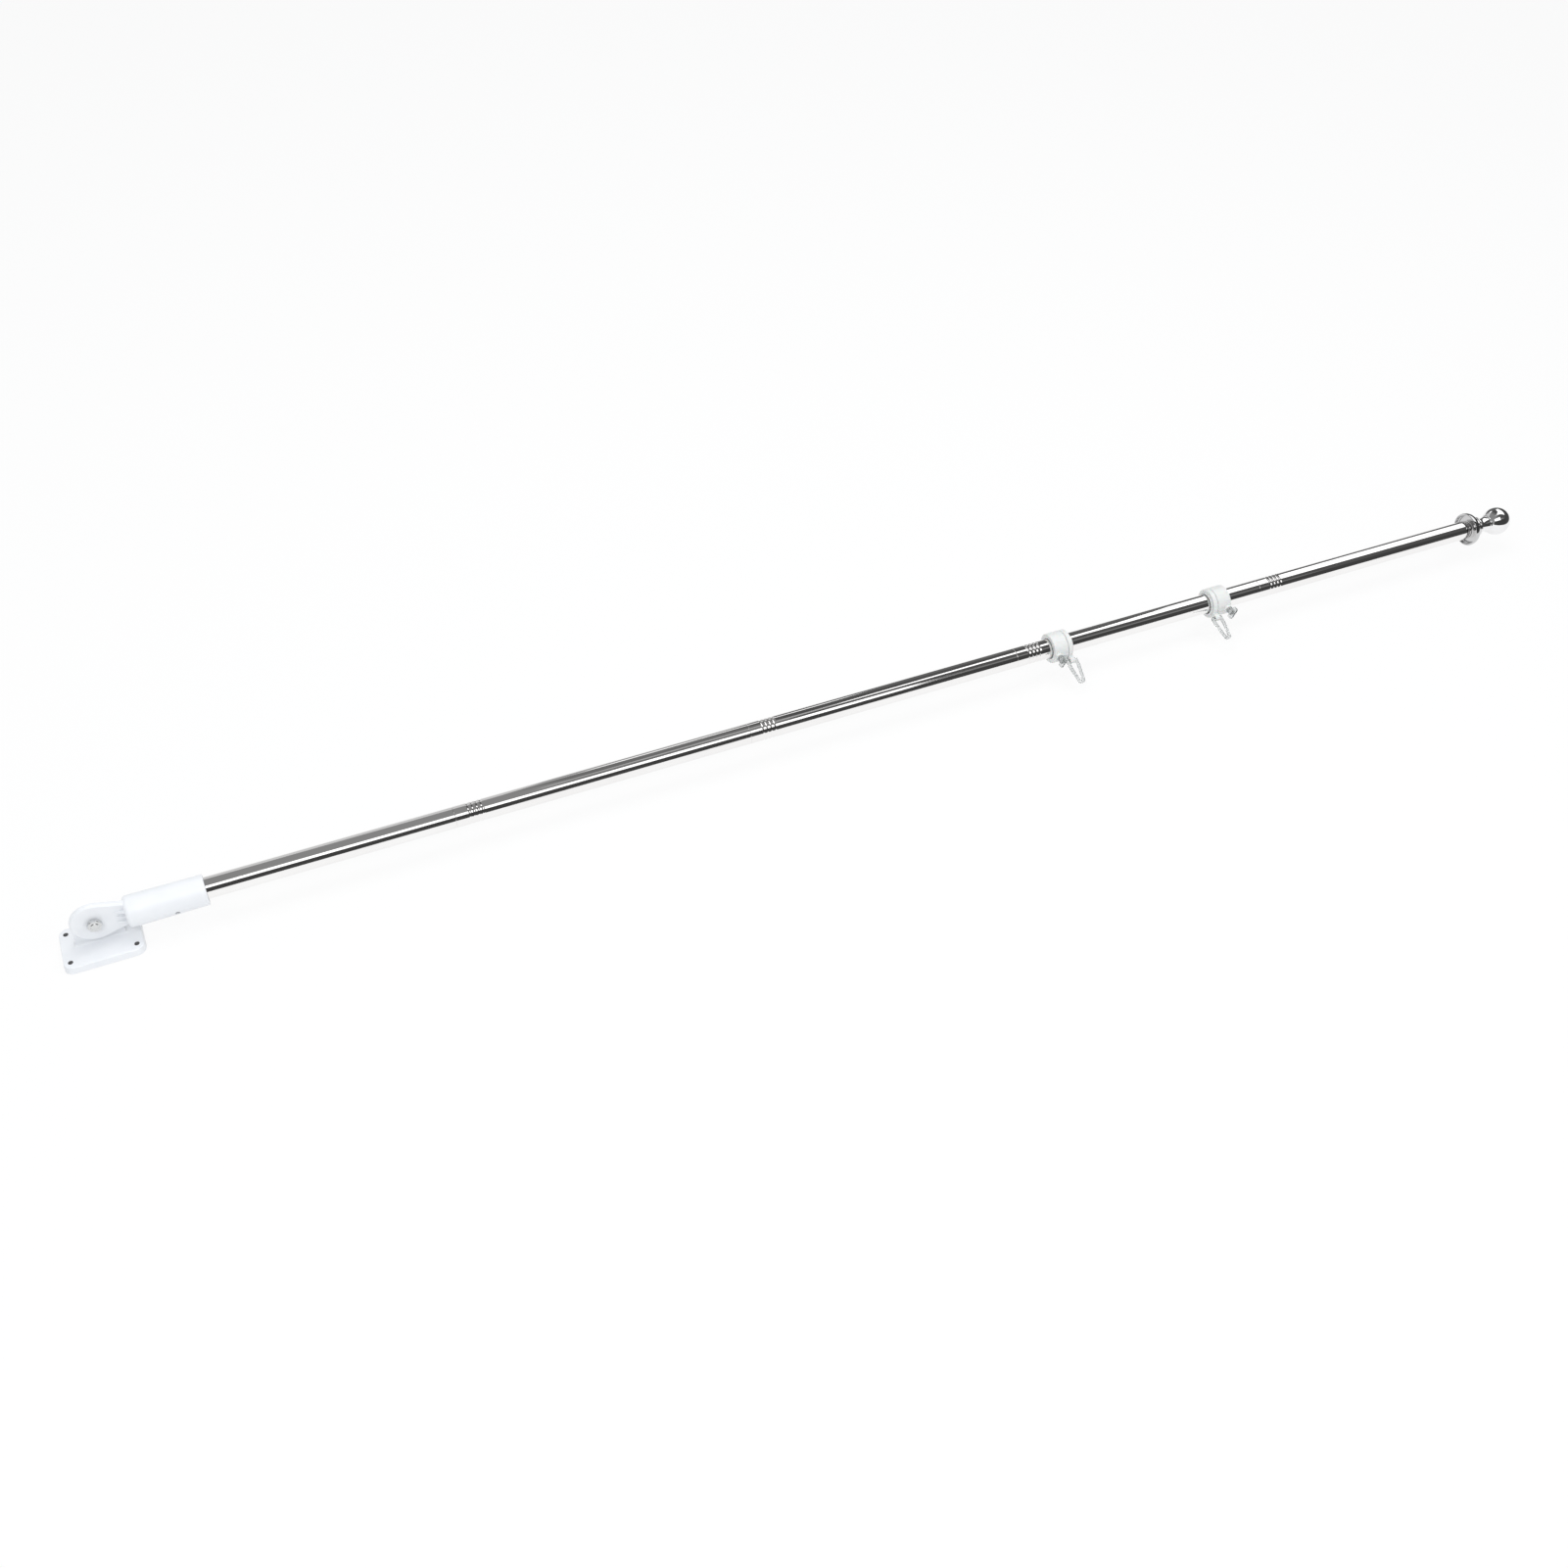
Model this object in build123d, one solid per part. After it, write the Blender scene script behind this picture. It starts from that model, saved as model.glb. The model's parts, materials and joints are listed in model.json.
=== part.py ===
from build123d import *
import math
import os

# A sectional flagpole on an adjustable wall bracket. Lengths are millimetres and angles degrees.
# The bracket's back face lies on z = 0 with its middle at the origin, +Z points away from the wall,
# and +X runs along the pole to the finial with the arm folded down beside the wall.

# Pole
pole_diameter = 25.4
pole_wall = 1.0
section_count = 5
section_length = 366
seam_chamfer = 0.4
groove_count = 4
groove_first = 17.5
groove_pitch = 5.2
groove_width = 3.0
groove_depth = 0.5
plug_reach_up = 40
plug_reach_down = 22
plug_clearance = 0.1
plug_chamfer = 1.2
plug_wall = 2

# Wall plate and its ear
plate_length = 87
plate_width = 65
plate_thickness = 8
plate_corner_radius = 11
plate_edge_round = 1.3
plate_draft = 8
hole_edge_x = 8.5
hole_edge_y = 10.5
hole_diameter = 5.5
axis_height = 39
ear_face = 0
ear_thickness = 8
ear_radius = 24
ear_drop = 7
ear_foot_length = 56
ear_root_round = 2.5
ear_edge_round = 1.5

# Tongue and socket arm
tongue_radius = 25.5
tongue_thickness = 5.5
tongue_bevel = 2.2
neck_height = 32
socket_start = 33
socket_end_round = 5
socket_floor = 3
socket_depth = 84
socket_wall = 3.2
socket_taper = 0.7
socket_offset = 1.6
socket_clearance = 0.1
mouth_round = 1.0
rib_count = 3
rib_spacing = 7
rib_thickness = 2
rib_reach = 11
rib_overlap = 6
rib_height = 7.5

# Pivot bolt and nut
bolt_diameter = 9.5
bolt_running_clearance = 0.06
hex_width = 14.3
nut_height = 5.2
head_height = 6
hex_chamfer = 0.9
bolt_end_height = 0.9
bolt_end_chamfer = 0.8
clamp_gap = 0.1

# Socket set screw
set_screw_from_mouth = 35
set_screw_angle = 25
set_screw_diameter = 6
set_screw_recess = 1.0
set_screw_clearance = 0.1
hex_key_width = 3
hex_key_depth = 1.2

# Finial
flange_setback = 17
flange_diameter = 45
flange_rim_width = 1.6
flange_rim_length = 2.4
flange_dish_depth = 6
flange_length = 11
flange_steps = 4
hub_wall = 2.4
stem_ring_length = 3
stem_ring_step = 0.9
stem_diameter = 21.5
stem_bead_diameter = 24
stem_bead_length = 2.6
stem_plug_length = 15
stem_socket_depth = 3
ball_diameter = 38.1
ball_wall = 1.6
ball_reach = 36
cavity_sides = 8

# Flag rings
lower_ring_from_seam = 69.5
upper_ring_from_seam = 70.5
collar_length = 19.5
collar_diameter = 38.6
collar_bore = 27.2
collar_edge_round = 0.8
collar_gap = 0.3
swivel_width = 6
swivel_gap = 0.6
swivel_running_clearance = 0.08
sleeve_wall = 1.5
lip_width = 1.2
lip_height = 0.8
boss_place = 14.5
boss_diameter = 9.8
boss_height = 3
thumb_thread_diameter = 5
thumb_clearance = 0.1
thumb_tip_gap = 0.3
thumb_hub_diameter = 8.5
thumb_hub_length = 7.5
thumb_seat_gap = 0.8
wing_span = 16
wing_length = 9
wing_thickness = 2.6
wing_round = 3
wing_angle = -60
lug_reach = 5
lug_radius = 4
pin_diameter = 3
pin_clearance = 0.08

# Flag clips
clip_length = 34
clip_width = 16
clip_thickness = 3
clip_wall = 3.4
clip_belly_place = 9
clip_belly_radius = 4
clip_corner_radius = 2.2
clip_tip_width = 9.6
clip_tip_radius = 3.6
clip_tip_wall = 4
clip_inner_corner_radius = 0.8
clip_inner_belly_radius = 2
clip_inner_tip_radius = 1.3
clip_lug_gap = 0.6
lower_clip_angle = 24
upper_clip_angle = 20

# Sizes that follow from those above
pole_radius = pole_diameter / 2
tube_inner_radius = pole_radius - pole_wall
pole_seat = socket_start + socket_floor
pole_end = pole_seat + section_count * section_length
socket_mouth = pole_seat + socket_depth
socket_bore_radius = pole_radius + socket_offset + socket_clearance
mouth_radius = socket_bore_radius + socket_wall
set_screw_place = socket_mouth - set_screw_from_mouth
screw_wall_radius = mouth_radius + socket_taper * set_screw_from_mouth / (socket_mouth - socket_start)
flange_place = pole_end - flange_setback
ball_place = pole_end + ball_reach
lower_ring_place = pole_end - 2 * section_length + lower_ring_from_seam
upper_ring_place = pole_end - section_length - upper_ring_from_seam
ear_back = ear_face + ear_thickness
tongue_back = ear_face - clamp_gap
tongue_front = tongue_back - tongue_thickness
bolt_radius = bolt_diameter / 2
bolt_bore_radius = bolt_radius + bolt_running_clearance
collar_radius = collar_diameter / 2
collar_bore_radius = collar_bore / 2
collar_shift = collar_bore_radius - pole_radius - collar_gap
sleeve_radius = collar_bore_radius + sleeve_wall
lug_centre = collar_radius + lug_reach
pin_radius = pin_diameter / 2
pin_hole_radius = pin_radius + pin_clearance

MIDDLE_LOW = (Align.CENTER, Align.CENTER, Align.MIN)


def turned(points, height=axis_height, shift=0):
    """A solid turned about the pole's direction, from points of (place along X, radius)."""
    outline = make_face(Plane.XZ * Polyline(*points, close=True))
    return Pos(0, -shift, height) * revolve(outline, Axis.X)


def rod(start, direction, radius, length):
    """A round rod from a point along a direction."""
    return Plane(origin=start, z_dir=direction) * Cylinder(radius, length, align=MIDDLE_LOW)


def hex_prism(start, direction, width, height, chamfer_size):
    """A hexagon prism whose corners are turned off at both ends."""
    corner_radius = width / 2 / math.cos(math.pi / 6)
    prism = extrude(RegularPolygon(corner_radius, 6), height)
    turning = Cylinder(corner_radius, height, align=MIDDLE_LOW)
    turning = chamfer(turning.edges().filter_by(GeomType.CIRCLE), chamfer_size)
    return Plane(origin=start, x_dir=(1, 0, 0), z_dir=direction) * (prism & turning)


def viewer_side(angle):
    """The direction in the ring's plane that lies this far below the level, on the thumbscrew's side."""
    return (0, -math.cos(math.radians(angle)), -math.sin(math.radians(angle)))


def quarter_oval(start, end, steps):
    """Points of a quarter oval between two of (place, radius), level at its start."""
    points = []
    for step in range(steps + 1):
        angle = math.pi / 2 * step / steps
        place = start[0] + (end[0] - start[0]) * math.sin(angle)
        radius = start[1] + (end[1] - start[1]) * (1 - math.cos(angle))
        points.append((place, radius))
    return points


def hull_of(rounds):
    """The hull of circles of (x, y, radius) and their mirror images in x."""
    edges = []
    for x, y, radius in rounds:
        edges += (Pos(x, y) * Circle(radius)).edges()
        edges += (Pos(-x, y) * Circle(radius)).edges()
    return make_hull(edges)


def wall_plate():
    base = RectangleRounded(plate_length, plate_width, plate_corner_radius)
    plate = extrude(base, plate_thickness, taper=plate_draft)
    plate = fillet(plate.faces().sort_by(Axis.Z)[-1].edges(), plate_edge_round)
    half_foot = ear_foot_length / 2
    crown = axis_height - ear_drop
    foot = Line((-half_foot, 0), (half_foot, 0))
    outline = make_hull((Pos(0, crown) * Circle(ear_radius)).edges() + foot.edges())
    side = Plane(origin=(0, ear_face, 0), x_dir=(1, 0, 0), z_dir=(0, -1, 0))
    ear = extrude(side * outline, -ear_thickness)
    back_edges = ear.faces().sort_by(Axis.Y)[-1].edges().sort_by(Axis.Z)[1:]
    ear = fillet(back_edges, ear_edge_round)
    casting = plate + ear
    root = []
    for edge in casting.edges():
        middle = edge.center()
        on_plate = abs(middle.Z - plate_thickness) < clamp_gap
        across = ear_face - clamp_gap < middle.Y < ear_back + clamp_gap
        if on_plate and across and abs(middle.X) < half_foot + clamp_gap:
            root.append(edge)
    casting = fillet(root, ear_root_round)
    for place in GridLocations(plate_length - 2 * hole_edge_x, plate_width - 2 * hole_edge_y, 2, 2):
        casting -= place * Cylinder(hole_diameter / 2, plate_thickness, align=MIDDLE_LOW)
    casting -= rod((0, ear_face, axis_height), (0, 1, 0), bolt_bore_radius, ear_thickness)
    return casting


def socket_arm():
    neck_end = (socket_start + pole_seat) / 2
    rounds = [Circle(tongue_radius), Pos(neck_end, 0) * Circle(neck_height / 2)]
    outline = make_hull([edge for shape in rounds for edge in shape.edges()])
    side = Plane(origin=(0, tongue_back, axis_height), x_dir=(1, 0, 0), z_dir=(0, -1, 0))
    tongue = extrude(side * outline, tongue_thickness)
    tongue = chamfer(tongue.faces().sort_by(Axis.Y)[0].edges(), tongue_bevel)
    toward = Vector(viewer_side(set_screw_angle))
    middle = Vector(0, 0, axis_height) + toward * socket_offset
    outside = [(socket_start, 0), (socket_start, mouth_radius + socket_taper), (socket_mouth, mouth_radius)]
    tube = turned(outside + [(socket_mouth, 0)], height=middle.Z, shift=-middle.Y)
    tube = fillet(tube.edges().filter_by(GeomType.CIRCLE).sort_by(Axis.X)[0], socket_end_round)
    tube = fillet(tube.edges().filter_by(GeomType.CIRCLE).sort_by(Axis.X)[-1], mouth_round)
    arm = tongue + tube
    rib_start = socket_start - rib_reach
    rib_end = socket_start + rib_overlap
    rib_points = [(rib_start, tongue_front), (rib_end, tongue_front), (rib_end, tongue_front - rib_height)]
    rib = make_face(Polyline(*rib_points, close=True))
    for number in range(rib_count):
        level = axis_height + (number - (rib_count - 1) / 2) * rib_spacing - rib_thickness / 2
        arm += Pos(0, 0, level) * extrude(rib, rib_thickness)
    arm -= rod((pole_seat, middle.Y, middle.Z), (1, 0, 0), socket_bore_radius, socket_depth)
    arm -= rod((0, tongue_front, axis_height), (0, 1, 0), bolt_bore_radius, tongue_thickness)
    screw_start = middle + Vector(set_screw_place, 0, 0)
    arm -= rod(screw_start, toward, set_screw_diameter / 2, screw_wall_radius + socket_wall)
    return arm


def set_screw():
    toward = Vector(viewer_side(set_screw_angle))
    radius = set_screw_diameter / 2 - set_screw_clearance
    inner = pole_radius + set_screw_clearance
    outer = socket_offset + screw_wall_radius - set_screw_recess
    axis_point = Vector(set_screw_place, 0, axis_height)
    screw = rod(axis_point + toward * inner, toward, radius, outer - inner)
    key = extrude(RegularPolygon(hex_key_width / 2, 6, major_radius=False), hex_key_depth)
    return screw - Plane(origin=axis_point + toward * (outer - hex_key_depth), z_dir=toward) * key


def pivot_bolt():
    end = tongue_front - clamp_gap - nut_height - bolt_end_height
    shank = rod((0, ear_back, axis_height), (0, -1, 0), bolt_radius, ear_back - end)
    shank = chamfer(shank.edges().filter_by(GeomType.CIRCLE).sort_by(Axis.Y)[0], bolt_end_chamfer)
    return shank + hex_prism((0, ear_back, axis_height), (0, 1, 0), hex_width, head_height, hex_chamfer)


def pivot_nut():
    seat = tongue_front - clamp_gap
    nut = hex_prism((0, seat, axis_height), (0, -1, 0), hex_width, nut_height, hex_chamfer)
    return nut - rod((0, seat, axis_height), (0, -1, 0), bolt_bore_radius, nut_height)


def pole_section(number):
    start = pole_seat + number * section_length
    end = start + section_length
    points = [(start, tube_inner_radius), (start, pole_radius - seam_chamfer)]
    points.append((start + seam_chamfer, pole_radius))
    for groove in range(groove_count if number > 0 else 0):
        middle = start + groove_first + groove * groove_pitch
        points.append((middle - groove_width / 2, pole_radius))
        points.append((middle, pole_radius - groove_depth))
        points.append((middle + groove_width / 2, pole_radius))
    points.append((end - seam_chamfer, pole_radius))
    points.append((end, pole_radius - seam_chamfer))
    points.append((end, tube_inner_radius))
    return turned(points)


def joint_plug(seam):
    start = seam - plug_reach_down
    end = seam + plug_reach_up
    outer = tube_inner_radius - plug_clearance
    inner = outer - plug_wall
    edge = outer - plug_chamfer
    return turned([(start, inner), (start, edge), (start + plug_chamfer, outer),
                   (end - plug_chamfer, outer), (end, edge), (end, inner)])


def finial_flange():
    bore = pole_radius + plug_clearance
    hub = bore + hub_wall
    rim = flange_diameter / 2
    floor = flange_place + flange_dish_depth
    back = flange_place + flange_length
    dish = quarter_oval((flange_place, rim - flange_rim_width), (floor, hub), flange_steps)
    outside = quarter_oval((flange_place + flange_rim_length, rim), (back, hub), flange_steps)
    return turned([(floor, bore)] + dish[::-1] + [(flange_place, rim)] + outside + [(back, bore)])


def finial_stem():
    ball_radius = ball_diameter / 2
    stem_radius = stem_diameter / 2
    bead_radius = stem_bead_diameter / 2
    ring_end = pole_end + stem_ring_length
    ball_face = ball_place - math.sqrt(ball_radius ** 2 - (stem_radius + plug_clearance) ** 2)
    bead_end = ball_face - plug_clearance
    bead_start = bead_end - stem_bead_length
    ring_radius = pole_radius + stem_ring_step
    plug_radius = tube_inner_radius - plug_clearance
    plug_start = pole_end - stem_plug_length
    tip = ball_face + stem_socket_depth - plug_clearance
    points = [(plug_start, 0), (plug_start, plug_radius), (pole_end, plug_radius), (pole_end, ring_radius),
              (ring_end, ring_radius), (ring_end, stem_radius), (bead_start, stem_radius),
              (bead_start, bead_radius), (bead_end, bead_radius), (bead_end, stem_radius)]
    return turned(points + [(tip, stem_radius), (tip, 0)])


def finial_ball():
    ball_radius = ball_diameter / 2
    stem_radius = stem_diameter / 2 + plug_clearance
    ball_face = ball_place - math.sqrt(ball_radius ** 2 - stem_radius ** 2)
    cavity_radius = ball_radius - ball_wall
    cavity = []
    for step in range(cavity_sides + 1):
        angle = math.pi * step / cavity_sides
        cavity.append((ball_place - cavity_radius * math.cos(angle), cavity_radius * math.sin(angle)))
    ball = Pos(ball_place, 0, axis_height) * Sphere(ball_radius) - turned(cavity)
    start = ball_place - ball_radius
    hole_length = ball_face + stem_socket_depth - start
    return ball - rod((start, 0, axis_height), (1, 0, 0), stem_radius, hole_length)


def collar(place, toward):
    """The clamped half of a flag ring. Its swivel end is at place and faces the given way along X."""
    far = place - toward * collar_length
    sleeve_end = place + toward * (2 * swivel_gap + swivel_width)
    lip_end = sleeve_end + toward * lip_width
    lip_radius = sleeve_radius + lip_height
    step = toward * collar_edge_round
    shoulder = collar_radius - collar_edge_round
    points = [(far, collar_bore_radius), (far, shoulder), (far + step, collar_radius),
              (place - step, collar_radius), (place, shoulder), (place, sleeve_radius),
              (sleeve_end, sleeve_radius), (sleeve_end, lip_radius), (lip_end, lip_radius),
              (lip_end, collar_bore_radius)]
    body = turned(points, shift=collar_shift)
    boss_x = place - toward * boss_place
    boss_length = collar_radius + boss_height - collar_bore_radius
    start = (boss_x, -collar_shift - collar_bore_radius, axis_height)
    boss = rod(start, (0, -1, 0), boss_diameter / 2, boss_length)
    bore = turned([(far, 0), (far, collar_bore_radius), (lip_end, collar_bore_radius), (lip_end, 0)],
                  shift=collar_shift)
    hole = rod((boss_x, 0, axis_height), (0, -1, 0), thumb_thread_diameter / 2 + thumb_clearance,
               collar_shift + collar_radius + boss_height)
    return body + (boss - bore) - hole


def thumbscrew(place, toward):
    boss_x = place - toward * boss_place
    tip = -pole_radius - thumb_tip_gap
    seat = -collar_shift - collar_radius - boss_height - thumb_seat_gap
    end = seat - thumb_hub_length
    shank = rod((boss_x, tip, axis_height), (0, -1, 0), thumb_thread_diameter / 2, tip - seat)
    hub = rod((boss_x, seat, axis_height), (0, -1, 0), thumb_hub_diameter / 2, thumb_hub_length)
    outline = RectangleRounded(wing_span, wing_length, wing_round)
    wings = extrude(outline, wing_thickness / 2, both=True)
    return shank + hub + Pos(boss_x, end, axis_height) * Rot(0, wing_angle, 0) * wings


def swivel_ring(place, toward, angle):
    near = place + toward * swivel_gap
    far = near + toward * swivel_width
    inner = sleeve_radius + swivel_running_clearance
    step = toward * collar_edge_round
    points = [(near, inner), (near, collar_radius - collar_edge_round), (near + step, collar_radius),
              (far - step, collar_radius), (far, collar_radius - collar_edge_round), (far, inner)]
    body = turned(points, shift=collar_shift)
    low = min(near, far)
    outward = Plane(origin=(low, -collar_shift, axis_height), x_dir=viewer_side(angle), z_dir=(1, 0, 0))
    middle = (inner + collar_radius) / 2
    web = Pos((middle + lug_centre) / 2, 0) * Rectangle(lug_centre - middle, 2 * lug_radius)
    lug = extrude(outward * (web + Pos(lug_centre, 0) * Circle(lug_radius)), swivel_width)
    lug -= rod((low, -collar_shift, axis_height), (1, 0, 0), middle, swivel_width)
    hole = outward * Pos(lug_centre, 0) * Cylinder(pin_hole_radius, swivel_width, align=MIDDLE_LOW)
    return body + lug - hole


def clip(place, toward, angle):
    """A leaf-shaped clip that hangs by a round bar in the swivel ring's lug."""
    middle_x = place + toward * (swivel_gap + swivel_width / 2)
    out = Vector(viewer_side(angle))
    hinge = Vector(middle_x, -collar_shift, axis_height) + out * lug_centre
    flat = Plane(origin=hinge, x_dir=(1, 0, 0), z_dir=Vector(1, 0, 0).cross(out))
    corner_x = clip_width / 2 - clip_corner_radius
    belly_x = clip_width / 2 - clip_belly_radius
    tip_x = clip_tip_width / 2 - clip_tip_radius
    tip_y = clip_length - clip_tip_radius
    inner_x = clip_width / 2 - clip_wall - clip_inner_corner_radius
    inner_y = pin_radius + clip_inner_corner_radius
    inner_belly_x = clip_width / 2 - clip_wall - clip_inner_belly_radius
    inner_tip_x = clip_tip_width / 2 - clip_wall - clip_inner_tip_radius
    inner_tip_y = clip_length - clip_tip_wall - clip_inner_tip_radius
    outer_rounds = [(corner_x, 0, clip_corner_radius), (belly_x, clip_belly_place, clip_belly_radius),
                    (tip_x, tip_y, clip_tip_radius)]
    inner_rounds = [(inner_x, inner_y, clip_inner_corner_radius),
                    (inner_belly_x, clip_belly_place, clip_inner_belly_radius),
                    (inner_tip_x, inner_tip_y, clip_inner_tip_radius)]
    leaf = hull_of(outer_rounds) - hull_of(inner_rounds)
    loop = extrude(leaf, clip_thickness / 2, both=True)
    slot_width = swivel_width + 2 * clip_lug_gap
    loop -= Box(slot_width, 2 * inner_y, clip_thickness)
    bar = Pos(-slot_width / 2, 0, 0) * Rot(0, 90, 0) * Cylinder(pin_radius, slot_width, align=MIDDLE_LOW)
    return flat * (loop + bar)


def main():
    pieces = {
        "wall_plate": wall_plate(),
        "socket_arm": socket_arm(),
        "socket_screw": set_screw(),
        "pivot_bolt": pivot_bolt(),
        "pivot_nut": pivot_nut(),
        "finial_flange": finial_flange(),
        "finial_stem": finial_stem(),
        "finial_ball": finial_ball(),
    }
    for number in range(section_count):
        pieces[f"pole_section_{number + 1}"] = pole_section(number)
    for number in range(1, section_count):
        pieces[f"joint_plug_{number}"] = joint_plug(pole_seat + number * section_length)
    rings = {
        "lower": (lower_ring_place, 1, lower_clip_angle),
        "upper": (upper_ring_place, -1, upper_clip_angle),
    }
    for name, (place, toward, angle) in rings.items():
        pieces[f"{name}_collar"] = collar(place, toward)
        pieces[f"{name}_thumbscrew"] = thumbscrew(place, toward)
        pieces[f"{name}_swivel_ring"] = swivel_ring(place, toward, angle)
        pieces[f"{name}_clip"] = clip(place, toward, angle)
    os.makedirs("parts", exist_ok=True)
    for name, piece in pieces.items():
        export_step(piece, f"parts/{name}.step")


main()
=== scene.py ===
"""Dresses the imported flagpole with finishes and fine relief, and sets its studio and camera.

Lengths are in metres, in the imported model's frame.
"""

import json
import math

import bmesh
import bpy
from mathutils import Matrix, Vector


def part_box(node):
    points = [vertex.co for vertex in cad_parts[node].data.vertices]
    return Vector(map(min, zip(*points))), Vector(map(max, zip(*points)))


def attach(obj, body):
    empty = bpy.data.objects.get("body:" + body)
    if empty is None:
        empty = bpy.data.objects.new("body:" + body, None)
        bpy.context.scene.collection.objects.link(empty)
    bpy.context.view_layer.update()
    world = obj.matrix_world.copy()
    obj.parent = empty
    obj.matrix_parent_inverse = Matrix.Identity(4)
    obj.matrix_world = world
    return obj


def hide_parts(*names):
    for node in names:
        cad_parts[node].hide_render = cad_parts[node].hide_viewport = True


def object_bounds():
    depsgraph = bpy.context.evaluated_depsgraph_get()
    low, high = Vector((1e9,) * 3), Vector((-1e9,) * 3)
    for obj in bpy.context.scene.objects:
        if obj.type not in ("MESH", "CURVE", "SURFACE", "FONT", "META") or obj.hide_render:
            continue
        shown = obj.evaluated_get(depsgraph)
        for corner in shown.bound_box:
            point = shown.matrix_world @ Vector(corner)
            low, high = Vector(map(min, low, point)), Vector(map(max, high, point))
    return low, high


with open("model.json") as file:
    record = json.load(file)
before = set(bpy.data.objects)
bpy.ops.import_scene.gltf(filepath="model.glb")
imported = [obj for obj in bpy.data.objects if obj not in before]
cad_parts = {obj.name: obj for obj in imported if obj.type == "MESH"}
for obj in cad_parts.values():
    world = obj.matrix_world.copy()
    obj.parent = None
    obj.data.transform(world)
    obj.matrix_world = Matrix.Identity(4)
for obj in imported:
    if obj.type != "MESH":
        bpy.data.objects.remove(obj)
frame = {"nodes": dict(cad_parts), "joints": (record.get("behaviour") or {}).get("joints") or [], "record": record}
nodes = frame["nodes"]
cad_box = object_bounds()
scene = bpy.context.scene
MM = 0.001

# Camera, fitted to the photograph
CAMERA_PLACE = (0.1800, -1.4687, 1.4345)
CAMERA_DOWN_DEG = 43.08
CAMERA_HEADING_DEG = 23.4
CAMERA_LENS = 39.93
CAMERA_SENSOR = 36.0
CAMERA_NEAREST = 0.01
CAMERA_FARTHEST = 100

# Sizes read from the frame
pole_low, pole_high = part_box("pole_section_1")
POLE_RADIUS = (pole_high.z - pole_low.z) / 2
AXIS_HEIGHT = (pole_high.z + pole_low.z) / 2
POLE_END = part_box("pole_section_5")[1].x
FLANGE_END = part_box("finial_flange")[1].x
JOINTS = {joint["name"]: joint for joint in frame["joints"]}

# Fineness of the meshes
SMOOTH_DEG = 40
ROUNDED_SMOOTH_DEG = 50
CAD_SMOOTH_DEG = 25
POLE_SEGMENTS = 128
SHANK_SEGMENTS = 48
HUB_SEGMENTS = 96
BAR_SEGMENTS = 32
ROUND_STEPS = 5
ARC_STEPS = 8
OVAL_STEPS = 16
GROOVE_STEPS = 16
NECK_STEPS = 12
BALL_STEPS = 64
CLIP_STATIONS = 48
SUPPORT = 0.5 * MM
SUPPORTED_LENGTH = 4 * SUPPORT
MERGE_DISTANCE = 1e-7

# Wall plate's screw bores, as places from the middle of the plate, where the casting's colour is darkened as
# painted shade
HOLE_PLACE = (35 * MM, 22 * MM)
HOLE_RADIUS = 2.85 * MM

# Pole
FIT_GAP = 0.1 * MM
POLE_WALL = 1.0 * MM
SEAM_ROUND = 0.4 * MM
SECTION_COUNT = 5
GROOVE_COUNT = 4
GROOVE_FIRST = 17.5 * MM
GROOVE_PITCH = 5.2 * MM
GROOVE_WIDTH = 4.4 * MM
GROOVE_DEPTH = 0.5 * MM

# Finial
FLANGE_HUB_WALL = 2.4 * MM
FLANGE_DISH_DEPTH = 6 * MM
FLANGE_RIM_WIDTH = 1.6 * MM
FLANGE_RIM_LENGTH = 2.4 * MM
FLANGE_RIM_ROUND = 0.8 * MM
FLANGE_RING_STEPS = (5, 10)
FLANGE_RING_FORWARD = 0.45 * MM
FLANGE_RING_INWARD = 0.25 * MM
STEM_RADIUS = 10.75 * MM
STEM_RING_LENGTH = 3 * MM
STEM_RING_START_ROUND = 0.9 * MM
STEM_RING_END_ROUND = 1.3 * MM
COVE_DEPTH = 1.2 * MM
BEAD_LENGTH = 2.6 * MM
BEAD_HEIGHT = 1.25 * MM
BALL_WALL = 1.6 * MM

# Clips
CLIP_LENGTH = 34 * MM
CLIP_THICKNESS = 3 * MM
CLIP_EDGE_ROUND = 0.9 * MM
CLIP_CHANNEL_DEPTH = 0.7 * MM
CLIP_CHANNEL_SHARES = (0.42, 0.58)
CLIP_WALL = 3.4 * MM
CLIP_BELLY_WALL = 4.2 * MM
CLIP_SLOT = 7.2 * MM
CLIP_BAR = 1.5 * MM
CLIP_CORNER = 2.2 * MM
CLIP_BELLY_PLACE = 9 * MM
CLIP_BELLY_ROUND = 4 * MM
CLIP_TIP_WIDTH = 9.6 * MM
CLIP_TIP_ROUND = 3.6 * MM
CLIP_TIP_WALL = 4 * MM
CLIP_INNER_CORNER = 0.8 * MM
CLIP_INNER_BELLY = 2 * MM
CLIP_INNER_TIP = 1.3 * MM

# Thumbscrews, which point to the viewer's side
SCREW_AXIS = (0, -1, 0)
COLLAR_SHIFT = 0.6 * MM
COLLAR_RADIUS = 19.3 * MM
BOSS_HEIGHT = 3 * MM
SCREW_GAP = 0.8 * MM
SCREW_SEAT = COLLAR_SHIFT + COLLAR_RADIUS + BOSS_HEIGHT + SCREW_GAP
SCREW_RADIUS = 2.5 * MM
SCREW_TIP_ROUND = 0.5 * MM
SCREW_OVERLAP = 1 * MM
HUB_LENGTH = 7.5 * MM
HUB_RADIUS = 4.25 * MM
HUB_SEAT_ROUND = 0.6 * MM
HUB_END_ROUND = 1.2 * MM
HUB_FLUTES = 12
HUB_FLUTE_DEPTH = 0.3 * MM
WING_ANGLE_DEG = -60
WING_HALF_SPAN = 8 * MM
WING_HALF_LENGTH = 4.5 * MM
WING_CORNER = 3 * MM
WING_THICKNESS = 2.6 * MM
WING_EDGE_ROUND = 1.1 * MM

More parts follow.
